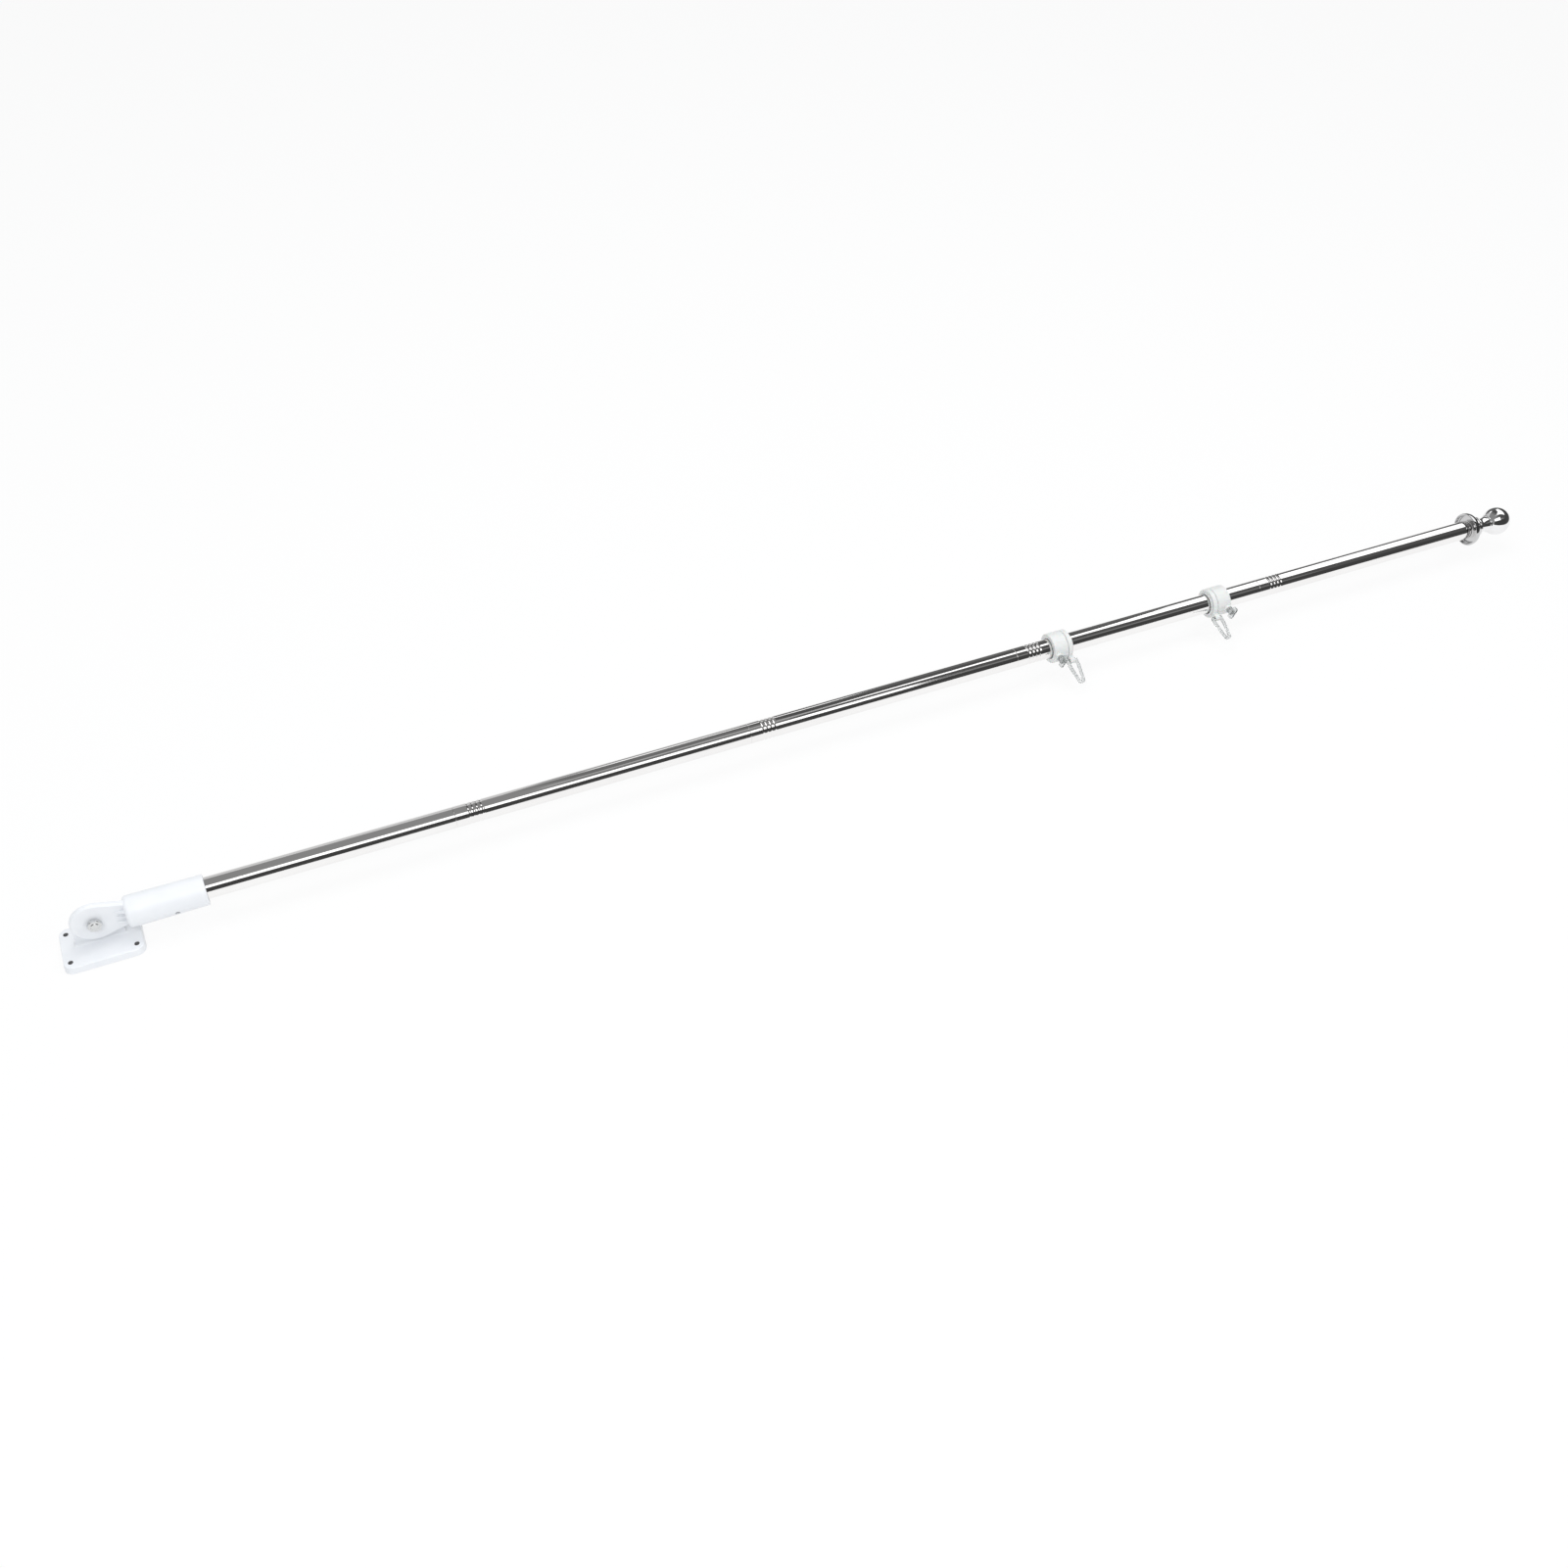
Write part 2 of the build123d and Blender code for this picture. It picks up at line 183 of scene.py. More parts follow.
# Finishes: the middle stretch of a noise, over which a colour or a value changes
COLOUR_RANGE = (0.3, 0.7)
VALUE_RANGE = (0.25, 0.75)

# Studio: the sky, the floor, and a room of cards that show only in polished and clear surfaces
SKY_COLOUR = (0.96, 0.98, 1.0, 1)
SKY_STRENGTH = 0.55
WHITE = (1, 1, 1, 1)
FLOOR_COLOUR = (0.9, 0.9, 0.9, 1)
FLOOR_HALF = 30.0
FLOOR_DROP = 0.4 * MM
FLOOR_GLOW = 0.88
ROOM_START = -2.0
ROOM_END = 5.5
ROOM_FRONT = -3.0
ROOM_BACK = 3.0
ROOM_TOP = 2.6
ROOM_NEAR_END = 1.0
ROOM_MID_END = 1.65
ROOM_STRETCHES = {
    "near": (ROOM_START, ROOM_NEAR_END),
    "mid": (ROOM_NEAR_END, ROOM_MID_END),
    "far": (ROOM_MID_END, ROOM_END),
}
BACK_WALL_LEVELS = {"near": 0.62, "mid": 0.36, "far": 0.13}
CEILING_LEVELS = {"near": 0.25, "mid": 0.16, "far": 0.08}
FLOOR_EDGE_START = 2.2
FLOOR_EDGE_HEIGHT = 2 * MM

# Softboxes: corners as (x, y) for the overhead ones, (x, z) for the back one, (x, y, z) for the others
OVERHEAD_HEIGHT = 2.5
OVERHEAD_PLAN = ((1.75, -0.1), (2.5, -0.15), (4.9, -0.65), (4.9, 2.95), (3.6, 2.95), (2.7, 1.0),
                 (1.75, 0.2))
OVERHEAD_START_PLAN = ((0.9, -0.25), (1.75, -0.3), (1.75, 0.35), (0.9, 0.2))
BACK_SOFTBOX_PLACE = 2.95
BACK_SOFTBOX_FACE = ((3.6, 2.5), (4.9, 2.5), (4.9, 2.0), (4.2, 2.0))
FRONT_SOFTBOX = ((-0.6, -1.9, 1.7), (2.0, -1.9, 1.7), (2.0, -1.1, 2.35), (-0.6, -1.1, 2.35))
FRONT_SOFTBOX_END = ((2.0, -1.9, 1.75), (3.4, -1.9, 1.85), (3.4, -1.6, 2.05), (2.0, -1.4, 2.15))
BACK_WINDOW = ((1.2, 2.8, 1.5), (2.1, 2.8, 1.5), (2.1, 2.8, 2.2), (1.2, 2.8, 2.2))


# Meshes

def mesh_object(name, bm, smooth_deg=SMOOTH_DEG):
    """A new object from a bmesh, smooth but for edges sharper than the angle."""
    bmesh.ops.recalc_face_normals(bm, faces=bm.faces)
    mesh = bpy.data.meshes.new(name)
    bm.to_mesh(mesh)
    bm.free()
    mesh.shade_smooth()
    mesh.set_sharp_from_angle(angle=math.radians(smooth_deg))
    piece = bpy.data.objects.new(name, mesh)
    scene.collection.objects.link(piece)
    return piece


def skin(bm, loops):
    """Faces that join each closed loop of points to the next."""
    for here, there in zip(loops, loops[1:]):
        for i in range(len(here)):
            k = (i + 1) % len(here)
            bm.faces.new((here[i], here[k], there[k], there[i]))


def capped_skin(bm, loops):
    """The same, with the first and the last loop filled."""
    skin(bm, loops)
    bm.faces.new(loops[0])
    bm.faces.new(loops[-1])


def lathe(name, origin, axis, profile, segments, flutes=0, flute_depth=0.0):
    """A closed turned piece from (distance along, radius) points, with flutes where a count is given."""
    turn_to = Vector(axis).to_track_quat("Z", "Y").to_matrix()
    bm = bmesh.new()
    rings = []
    for step in range(segments):
        turn = 2 * math.pi * step / segments
        cut = flute_depth * (0.5 - 0.5 * math.cos(flutes * turn))
        ring = []
        for distance, radius in profile:
            reach = max(radius - cut, 0.0)
            point = Vector((reach * math.cos(turn), reach * math.sin(turn), distance))
            ring.append(bm.verts.new(Vector(origin) + turn_to @ point))
        rings.append(ring)
    skin(bm, rings + rings[:1])
    bmesh.ops.remove_doubles(bm, verts=bm.verts, dist=MERGE_DISTANCE)
    return mesh_object(name, bm)


def pole_lathe(name, profile):
    """A piece turned about the pole's axis, its distances being places along X."""
    return lathe(name, (0, 0, AXIS_HEIGHT), (1, 0, 0), profile, POLE_SEGMENTS)


def rounded(corners):
    """A closed profile from (distance, radius, fillet) corners, with support points in long stretches."""
    fine = []
    for i, (distance, radius, fillet) in enumerate(corners):
        here = Vector((distance, radius))
        if fillet == 0:
            fine.append(here)
            continue
        back = (Vector(corners[i - 1][:2]) - here).normalized()
        ahead = (Vector(corners[(i + 1) % len(corners)][:2]) - here).normalized()
        half = back.angle(ahead) / 2
        centre = here + (back + ahead).normalized() * fillet / math.sin(half)
        first = here + back * fillet / math.tan(half) - centre
        last = here + ahead * fillet / math.tan(half) - centre
        start = math.atan2(first.y, first.x)
        sweep = math.remainder(math.atan2(last.y, last.x) - start, 2 * math.pi)
        for step in range(ROUND_STEPS + 1):
            turn = start + sweep * step / ROUND_STEPS
            fine.append(centre + fillet * Vector((math.cos(turn), math.sin(turn))))
    profile = []
    for i, point in enumerate(fine):
        profile.append(tuple(point))
        after = fine[(i + 1) % len(fine)]
        if (after - point).length > SUPPORTED_LENGTH:
            along = (after - point).normalized() * SUPPORT
            profile.append(tuple(point + along))
            profile.append(tuple(after - along))
    return profile


def quarter_oval(start, end):
    """Points of a quarter oval that leaves its start along the pole and comes to its end across it."""
    points = []
    for step in range(OVAL_STEPS + 1):
        turn = math.pi / 2 * step / OVAL_STEPS
        distance = start[0] + (end[0] - start[0]) * math.sin(turn)
        points.append((distance, end[1] + (start[1] - end[1]) * math.cos(turn), 0))
    return points


def arc(centre, radius, start_deg, end_deg):
    """Points of an arc in a plane, turning from one angle to another."""
    points = []
    for step in range(ARC_STEPS + 1):
        turn = math.radians(start_deg + (end_deg - start_deg) * step / ARC_STEPS)
        points.append(Vector(centre) + radius * Vector((math.cos(turn), math.sin(turn))))
    return points


def tangent_side(first, second):
    """Arcs of two (x, y, radius) circles with the straight side that touches both, ending level."""
    across = first[0] - second[0]
    along = second[1] - first[1]
    lean = math.atan2(across, along) + math.asin((first[2] - second[2]) / math.hypot(across, along))
    lean_deg = math.degrees(lean)
    return arc(first[:2], first[2], 0, lean_deg) + arc(second[:2], second[2], lean_deg, 90)


def rounded_rectangle(half_width, half_height, corner):
    """Points around a rectangle with rounded corners, in a plane."""
    x = half_width - corner
    y = half_height - corner
    outline = []
    for quarter, centre in enumerate(((x, y), (-x, y), (-x, -y), (x, -y))):
        outline += arc(centre, corner, 90 * quarter, 90 * quarter + 90)
    return outline


def edge_round(thickness, radius):
    """(inset, height) points over one rounded edge of a plate, from its side to its face."""
    points = []
    for step in range(ROUND_STEPS + 1):
        turn = math.pi / 2 * step / ROUND_STEPS
        points.append((radius * (1 - math.cos(turn)), thickness / 2 - radius * (1 - math.sin(turn))))
    return points


def resampled(points, count):
    """The same polyline with evenly spread points."""
    lengths = [0.0]
    for here, there in zip(points, points[1:]):
        lengths.append(lengths[-1] + (there - here).length)
    spread = []
    segment = 0
    for step in range(count):
        wanted = lengths[-1] * step / (count - 1)
        while segment < len(points) - 2 and lengths[segment + 1] < wanted:
            segment += 1
        share = (wanted - lengths[segment]) / (lengths[segment + 1] - lengths[segment])
        spread.append(points[segment].lerp(points[segment + 1], share))
    return spread


def finish_piece(piece, material, body, *stands_for):
    """Gives a piece its finish and the body it rides on, and hides the solids that it stands for."""
    piece.data.materials.append(MATERIALS[material])
    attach(piece, body)
    if stands_for:
        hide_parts(*stands_for)


# Materials

class Shader:
    """A Principled material and short helpers that add nodes to it."""

    def __init__(self, name):
        self.material = bpy.data.materials.new(name)
        self.material.use_nodes = True
        self.tree = self.material.node_tree
        self.surface = self.tree.nodes["Principled BSDF"]
        self.coordinates = self.tree.nodes.new("ShaderNodeTexCoord")

    def set(self, **values):
        """Sets inputs of the surface by name, with underscores for spaces."""
        for name, value in values.items():
            self.surface.inputs[name.replace("_", " ")].default_value = value
        return self

    def link(self, start, end):
        self.tree.links.new(start, end)

    def feed(self, **sockets):
        """Links sockets to inputs of the surface by name, with underscores for spaces."""
        for name, socket in sockets.items():
            self.link(socket, self.surface.inputs[name.replace("_", " ")])

    def noise(self, scale, detail, roughness=0.5, stretch=(1, 1, 1)):
        """A socket of cloudy noise, which a stretch above 1 makes finer along that axis."""
        mapping = self.tree.nodes.new("ShaderNodeMapping")
        mapping.inputs["Scale"].default_value = stretch
        self.link(self.coordinates.outputs["Object"], mapping.inputs["Vector"])
        texture = self.tree.nodes.new("ShaderNodeTexNoise")
        texture.inputs["Scale"].default_value = scale
        texture.inputs["Detail"].default_value = detail
        texture.inputs["Roughness"].default_value = roughness
        self.link(mapping.outputs["Vector"], texture.inputs["Vector"])
        return texture.outputs["Fac"]

    def ramp(self, factor, low, high):
        """A colour socket between two colours, over the middle of a noise."""
        node = self.tree.nodes.new("ShaderNodeValToRGB")
        for element, position, colour in zip(node.color_ramp.elements, COLOUR_RANGE, (low, high)):
            element.position = position
            element.color = (*colour, 1)
        self.link(factor, node.inputs["Fac"])
        return node.outputs["Color"]

    def spread(self, factor, low, high):
        """A socket between two values, over the middle of a noise."""
        node = self.tree.nodes.new("ShaderNodeMapRange")
        node.inputs["From Min"].default_value = VALUE_RANGE[0]
        node.inputs["From Max"].default_value = VALUE_RANGE[1]
        node.inputs["To Min"].default_value = low
        node.inputs["To Max"].default_value = high
        self.link(factor, node.inputs["Value"])
        return node.outputs["Result"]

    def less_than(self, value, limit):
        """A socket that is 1 where another is below a limit."""
        node = self.tree.nodes.new("ShaderNodeMath")
        node.operation = "LESS_THAN"
        node.inputs[1].default_value = limit
        self.link(value, node.inputs[0])
        return node.outputs["Value"]

    def inside_holes(self, place, radius):
        """A socket that is 1 within a radius of four upright lines, at a place mirrored about both axes."""
        source = self.coordinates.outputs["Object"]
        for operation, second in (("ABSOLUTE", None), ("SUBTRACT", (*place, 0)),
                                  ("MULTIPLY", (1, 1, 0)), ("LENGTH", None)):
            node = self.tree.nodes.new("ShaderNodeVectorMath")
            node.operation = operation
            if second:
                node.inputs[1].default_value = second
            self.link(source, node.inputs[0])
            source = node.outputs["Value" if operation == "LENGTH" else "Vector"]
        return self.less_than(source, radius)

    def short_of(self, place):
        """A socket that is 1 where X is below a place."""
        axes = self.tree.nodes.new("ShaderNodeSeparateXYZ")
        self.link(self.coordinates.outputs["Object"], axes.inputs["Vector"])
        return self.less_than(axes.outputs["X"], place)

    def mixed(self, factor, colour, other):
        """A colour socket with a plain colour laid over it by a factor."""
        node = self.tree.nodes.new("ShaderNodeMixRGB")
        node.inputs["Color2"].default_value = (*other, 1)
        self.link(factor, node.inputs["Fac"])
        self.link(colour, node.inputs["Color1"])
        return node.outputs["Color"]

    def bump(self, height, strength, distance):
        """A normal socket that is rough by a height."""
        node = self.tree.nodes.new("ShaderNodeBump")
        node.inputs["Strength"].default_value = strength
        node.inputs["Distance"].default_value = distance
        self.link(height, node.inputs["Height"])
        return node.outputs["Normal"]


def polished_steel():
    """Mirror polish with faint clouds, and fine lines along the tube."""
    shader = Shader("polished_steel").set(Metallic=1.0, Anisotropic=0.3)
    cloud = shader.noise(scale=9, detail=4)
    lines = shader.noise(scale=420, detail=2, stretch=(0.05, 1, 1))
    shader.feed(Base_Color=shader.ramp(cloud, low=(0.89, 0.88, 0.875), high=(0.93, 0.925, 0.92)),
                Roughness=shader.spread(lines, low=0.05, high=0.09),
                Normal=shader.bump(lines, strength=0.04, distance=0.05 * MM))
    return shader.material


def polished_finial():
    """Bright ball and neck; the dished collar before them is darkened as painted shade, so the floor it mirrors
    shows grey.
    """
    shader = Shader("polished_finial").set(Metallic=1.0)
    cloud = shader.noise(scale=60, detail=3)
    bright = shader.ramp(cloud, low=(0.85, 0.85, 0.855), high=(0.91, 0.91, 0.915))
    # Painted shade: the dished collar's colour is lowered, greying the white floor that it mirrors
    flange_shade = shader.short_of(FLANGE_END)
    haze = shader.noise(scale=300, detail=2)
    shader.feed(Base_Color=shader.mixed(flange_shade, bright, other=(0.6, 0.6, 0.605)),
                Roughness=shader.spread(haze, low=0.04, high=0.09))
    return shader.material


def white_casting():
    """Satin white paint with a slight orange peel, darkened in the screw bores as painted shade."""
    shader = Shader("white_casting").set(Coat_Weight=0.25, Coat_Roughness=0.2)
    paint = shader.ramp(shader.noise(scale=35, detail=4), low=(0.83, 0.85, 0.88), high=(0.87, 0.885, 0.91))
    # Painted shade: the casting's colour turns dark within the screw bores, where their walls would fall in shadow
    hole_shade = shader.inside_holes(HOLE_PLACE, HOLE_RADIUS)
    peel = shader.noise(scale=700, detail=3, roughness=0.55)
    shader.feed(Base_Color=shader.mixed(hole_shade, paint, other=(0.22, 0.22, 0.225)),
                Roughness=shader.spread(peel, low=0.34, high=0.48),
                Normal=shader.bump(peel, strength=0.12, distance=0.3 * MM))
    return shader.material


def zinc_fastener():
    """Zinc plating with a fine grain."""
    shader = Shader("zinc_fastener").set(Metallic=0.95)
    grain = shader.noise(scale=150, detail=3)
    shader.feed(Base_Color=shader.ramp(grain, low=(0.66, 0.67, 0.68), high=(0.72, 0.73, 0.73)),
                Roughness=shader.spread(grain, low=0.16, high=0.22),
                Normal=shader.bump(grain, strength=0.02, distance=0.1 * MM))
    return shader.material


def plug_steel():
    """Plain turned steel with lines around it."""
    shader = Shader("plug_steel").set(Metallic=1.0)
    lines = shader.noise(scale=300, detail=2, stretch=(8, 1, 1))
    shader.feed(Base_Color=shader.ramp(lines, low=(0.4, 0.41, 0.42), high=(0.6, 0.6, 0.6)),
                Roughness=shader.spread(lines, low=0.3, high=0.5))
    return shader.material


def white_nylon():
    """Moulded nylon, slightly translucent."""
    shader = Shader("white_nylon").set(Subsurface_Weight=0.08, Subsurface_Scale=2 * MM)
    cloud = shader.noise(scale=45, detail=4)
    grain = shader.noise(scale=1100, detail=3)
    shader.feed(Base_Color=shader.ramp(cloud, low=(0.74, 0.755, 0.745), high=(0.79, 0.8, 0.79)),
                Roughness=shader.spread(grain, low=0.36, high=0.5),
                Normal=shader.bump(grain, strength=0.1, distance=0.2 * MM))
    return shader.material


def clear_plastic():
    """Clear moulded plastic with a wavy surface."""
    shader = Shader("clear_plastic").set(Transmission_Weight=0.8, IOR=1.49)
    cloud = shader.noise(scale=120, detail=3)
    haze = shader.noise(scale=500, detail=3)
    waves = shader.noise(scale=160, detail=3)
    shader.feed(Base_Color=shader.ramp(cloud, low=(0.7, 0.72, 0.72), high=(0.86, 0.87, 0.87)),
                Roughness=shader.spread(haze, low=0.05, high=0.14),
                Normal=shader.bump(waves, strength=0.12, distance=0.6 * MM))
    return shader.material


MATERIALS = {make.__name__: make() for make in (
    polished_steel, polished_finial, white_casting, zinc_fastener, plug_steel, white_nylon, clear_plastic)}


def finish_cad_nodes():
    """Gives every solid its finish and smooth shading."""
    for part in frame["record"]["subparts"]:
        piece = nodes[part["node"]]
        piece.data.materials.clear()
        piece.data.materials.append(MATERIALS[part["material_slot"]])
        piece.data.shade_smooth()
        piece.data.set_sharp_from_angle(angle=math.radians(CAD_SMOOTH_DEG))


# Pole and finial

def groove(middle):
    """Points of one rolled groove, round at its bottom and at its lips."""
    points = []
    for step in range(GROOVE_STEPS + 1):
        share = step / GROOVE_STEPS
        drop = GROOVE_DEPTH * (0.5 - 0.5 * math.cos(2 * math.pi * share))
        points.append((middle + (share - 0.5) * GROOVE_WIDTH, POLE_RADIUS - drop, 0))
    return points


def make_pole():
    """The tubes, all but the lowest with grooves near their lower end."""
    for number in range(1, SECTION_COUNT + 1):
        node = f"pole_section_{number}"
        low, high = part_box(node)
        corners = [(low.x, POLE_RADIUS - POLE_WALL, 0), (low.x, POLE_RADIUS, SEAM_ROUND)]
        if number > 1:
            for count in range(GROOVE_COUNT):
                corners += groove(low.x + GROOVE_FIRST + GROOVE_PITCH * count)
        corners += [(high.x, POLE_RADIUS, SEAM_ROUND), (high.x, POLE_RADIUS - POLE_WALL, 0)]
        finish_piece(pole_lathe(f"tube_{number}", rounded(corners)), "polished_steel", "arm", node)


def make_flange():
    """The dished collar, with two fine rings turned in its dish."""
    low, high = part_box("finial_flange")
    rim = (high.z - low.z) / 2
    bore = POLE_RADIUS + FIT_GAP
    hub = bore + FLANGE_HUB_WALL
    floor = low.x + FLANGE_DISH_DEPTH
    dish = quarter_oval((low.x, rim - FLANGE_RIM_WIDTH), (floor, hub))
    for step in FLANGE_RING_STEPS:
        distance, radius, fillet = dish[step]
        dish[step] = (distance - FLANGE_RING_FORWARD, radius - FLANGE_RING_INWARD, fillet)
    outside = quarter_oval((low.x + FLANGE_RIM_LENGTH, rim), (high.x, hub))
    corners = [(floor, bore, 0)] + dish[::-1] + [(low.x, rim, FLANGE_RIM_ROUND)]
    corners += outside + [(high.x, bore, 0)]
    finish_piece(pole_lathe("flange_dish", rounded(corners)), "polished_finial", "arm", "finial_flange")


def ball_sizes():
    """The ball's radius, its centre along the pole, and where the neck meets it."""
    low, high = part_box("finial_ball")
    radius = (high.z - low.z) / 2
    centre = high.x - radius
    return radius, centre, centre - math.sqrt(radius ** 2 - (STEM_RADIUS + FIT_GAP) ** 2)


def make_neck():
    """The turned neck with its rounded ring, cove and bead."""
    low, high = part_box("finial_stem")
    ring = (high.z - low.z) / 2
    plug = POLE_RADIUS - POLE_WALL - FIT_GAP
    ring_end = POLE_END + STEM_RING_LENGTH
    bead_end = ball_sizes()[2] - FIT_GAP
    bead_start = bead_end - BEAD_LENGTH
    corners = [(low.x, 0, 0), (low.x, plug, 0), (POLE_END, plug, 0)]
    corners += [(POLE_END, ring, STEM_RING_START_ROUND), (ring_end, ring, STEM_RING_END_ROUND)]
    for step in range(NECK_STEPS + 1):
        share = step / NECK_STEPS
        place = ring_end + (bead_start - ring_end) * share
        corners.append((place, STEM_RADIUS - COVE_DEPTH * math.sin(math.pi * share), 0))
    for step in range(1, NECK_STEPS + 1):
        turn = math.pi * step / NECK_STEPS
        place = bead_start + (bead_end - bead_start) * (1 - math.cos(turn)) / 2
        corners.append((place, STEM_RADIUS + BEAD_HEIGHT * math.sin(turn), 0))
    corners += [(high.x, STEM_RADIUS, 0), (high.x, 0, 0)]
    finish_piece(pole_lathe("finial_neck", rounded(corners)), "polished_finial", "arm", "finial_stem")


def make_ball():
    """The hollow ball, open where the neck goes in."""
    radius, centre, face = ball_sizes()
    opening = math.acos((centre - face) / radius)
    steps = range(BALL_STEPS + 1)
    shell = []
    for reach, order in ((radius, steps), (radius - BALL_WALL, steps[::-1])):
        for step in order:
            turn = opening + (math.pi - opening) * step / BALL_STEPS
            shell.append((centre - reach * math.cos(turn), reach * math.sin(turn)))
    finish_piece(pole_lathe("finial_globe", shell), "polished_finial", "arm", "finial_ball")


# Flag rings

def clip_half(half_width):
    """Pairs of points along the outer and the inner edge of half a clip, across and along from its bar."""
    slot = CLIP_SLOT / 2
    outer = [Vector((slot, -CLIP_CORNER))] + arc((half_width - CLIP_CORNER, 0), CLIP_CORNER, -90, 0)
    belly = (half_width - CLIP_BELLY_ROUND, CLIP_BELLY_PLACE, CLIP_BELLY_ROUND)
    tip = (CLIP_TIP_WIDTH / 2 - CLIP_TIP_ROUND, CLIP_LENGTH - CLIP_TIP_ROUND, CLIP_TIP_ROUND)
    outer += tangent_side(belly, tip) + [Vector((0, CLIP_LENGTH))]
    inside = half_width - CLIP_BELLY_WALL
    inner_end = CLIP_LENGTH - CLIP_TIP_WALL
    inner = [Vector((slot, 0)), Vector((slot, CLIP_BAR)), Vector((inside - CLIP_INNER_CORNER, CLIP_BAR))]
    inner.append(Vector((inside, CLIP_BAR + CLIP_INNER_CORNER)))
    belly = (inside - CLIP_INNER_BELLY, CLIP_BELLY_PLACE, CLIP_INNER_BELLY)
    tip = (CLIP_TIP_WIDTH / 2 - CLIP_WALL - CLIP_INNER_TIP, inner_end - CLIP_INNER_TIP, CLIP_INNER_TIP)
    inner += tangent_side(belly, tip) + [Vector((0, inner_end))]
    return list(zip(resampled(outer, CLIP_STATIONS), resampled(inner, CLIP_STATIONS)))


def clip_section(edge_out, edge_in):
    """(place, height) points around the clip's wall, with its rounded edges and the channel in each face."""
    rim = edge_round(CLIP_THICKNESS, CLIP_EDGE_ROUND)
    inward = (edge_in - edge_out).normalized()
    face = [(edge_out + inward * inset, height) for inset, height in rim]
    for share in CLIP_CHANNEL_SHARES:
        face.append((edge_out.lerp(edge_in, share), CLIP_THICKNESS / 2 - CLIP_CHANNEL_DEPTH))
    face += [(edge_in - inward * inset, height) for inset, height in rim[::-1]]
    return face + [(place, -height) for place, height in face[::-1]]


def make_clip(ring):
    """A leaf-shaped clip with rounded edges, hung by its bar in the swivel ring's lug."""
    node = f"{ring}_clip"
    low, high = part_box(node)
    hinge = Vector(JOINTS[f"{ring}_swing"]["pos_m"])
    across = Vector((1, 0, 0))
    down = ((low + high) / 2 - hinge).normalized()
    bm = bmesh.new()

    def point(place, height):
        return bm.verts.new(hinge + across * place.x + down * place.y + across.cross(down) * height)

    half = clip_half((high.x - low.x) / 2)
    mirrored = [(Vector((-out.x, out.y)), Vector((-into.x, into.y))) for out, into in half[-2::-1]]
    capped_skin(bm, [[point(*spot) for spot in clip_section(*pair)] for pair in half + mirrored])
    turns = [2 * math.pi * step / BAR_SEGMENTS for step in range(BAR_SEGMENTS)]
    bar_round = [(CLIP_BAR * math.cos(turn), CLIP_BAR * math.sin(turn)) for turn in turns]
    bar = []
    for end in (-CLIP_SLOT / 2, CLIP_SLOT / 2):
        bar.append([point(Vector((end, along)), height) for along, height in bar_round])
    capped_skin(bm, bar)
    leaf = mesh_object(f"{ring}_leaf", bm, ROUNDED_SMOOTH_DEG)
    finish_piece(leaf, "clear_plastic", f"{ring}_hook", node)


def make_thumbscrew(ring):
    """A winged screw: plain shank, fluted hub and a rounded wing plate."""
    node = f"{ring}_thumbscrew"
    low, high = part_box(node)
    origin = Vector(((low.x + high.x) / 2, 0, AXIS_HEIGHT))
    tip = -high.y
    shank_end = SCREW_SEAT + SCREW_OVERLAP
    shank = [(tip, 0, 0), (tip, SCREW_RADIUS, SCREW_TIP_ROUND)]
    shank += [(shank_end, SCREW_RADIUS, 0), (shank_end, 0, 0)]
    piece = lathe(f"{ring}_screw_shank", origin, SCREW_AXIS, rounded(shank), SHANK_SEGMENTS)
    finish_piece(piece, "clear_plastic", f"{ring}_clamp", node)
    hub_end = SCREW_SEAT + HUB_LENGTH
    hub = [(SCREW_SEAT, 0, 0), (SCREW_SEAT, HUB_RADIUS, HUB_SEAT_ROUND)]
    hub += [(hub_end, HUB_RADIUS, HUB_END_ROUND), (hub_end, 0, 0)]
    piece = lathe(f"{ring}_screw_hub", origin, SCREW_AXIS, rounded(hub), HUB_SEGMENTS,
                  HUB_FLUTES, HUB_FLUTE_DEPTH)
    finish_piece(piece, "clear_plastic", f"{ring}_clamp")
    piece = wing_plate(f"{ring}_screw_wing", origin - Vector((0, hub_end, 0)))
    finish_piece(piece, "clear_plastic", f"{ring}_clamp")


def wing_plate(name, centre):
    """A flat plate centred on the hub's end, with rounded corners and edges."""
    length_way = Vector((0, 1, 0))
    span_way = Matrix.Rotation(math.radians(WING_ANGLE_DEG), 3, "Y") @ Vector((1, 0, 0))
    normal = span_way.cross(length_way)
    rim = edge_round(WING_THICKNESS, WING_EDGE_ROUND)
    bm = bmesh.new()
    loops = []
    for inset, height in [(inset, -height) for inset, height in rim[::-1]] + rim:
        loop = []
        for spot in rounded_rectangle(WING_HALF_SPAN - inset, WING_HALF_LENGTH - inset, WING_CORNER - inset):
            loop.append(bm.verts.new(centre + span_way * spot.x + length_way * spot.y + normal * height))
        loops.append(loop)
    capped_skin(bm, loops)
    return mesh_object(name, bm, ROUNDED_SMOOTH_DEG)


def make_flag_rings():
    for ring in ("lower", "upper"):
        make_clip(ring)
        make_thumbscrew(ring)


# Studio

def make_camera():
    data = bpy.data.cameras.new("camera")
    data.lens = CAMERA_LENS
    data.sensor_width = CAMERA_SENSOR
    data.clip_start = CAMERA_NEAREST
    data.clip_end = CAMERA_FARTHEST
    camera = bpy.data.objects.new("camera", data)
    scene.collection.objects.link(camera)
    camera.location = CAMERA_PLACE
    camera.rotation_euler = (math.radians(90 - CAMERA_DOWN_DEG), 0, math.radians(-CAMERA_HEADING_DEG))
    scene.camera = camera


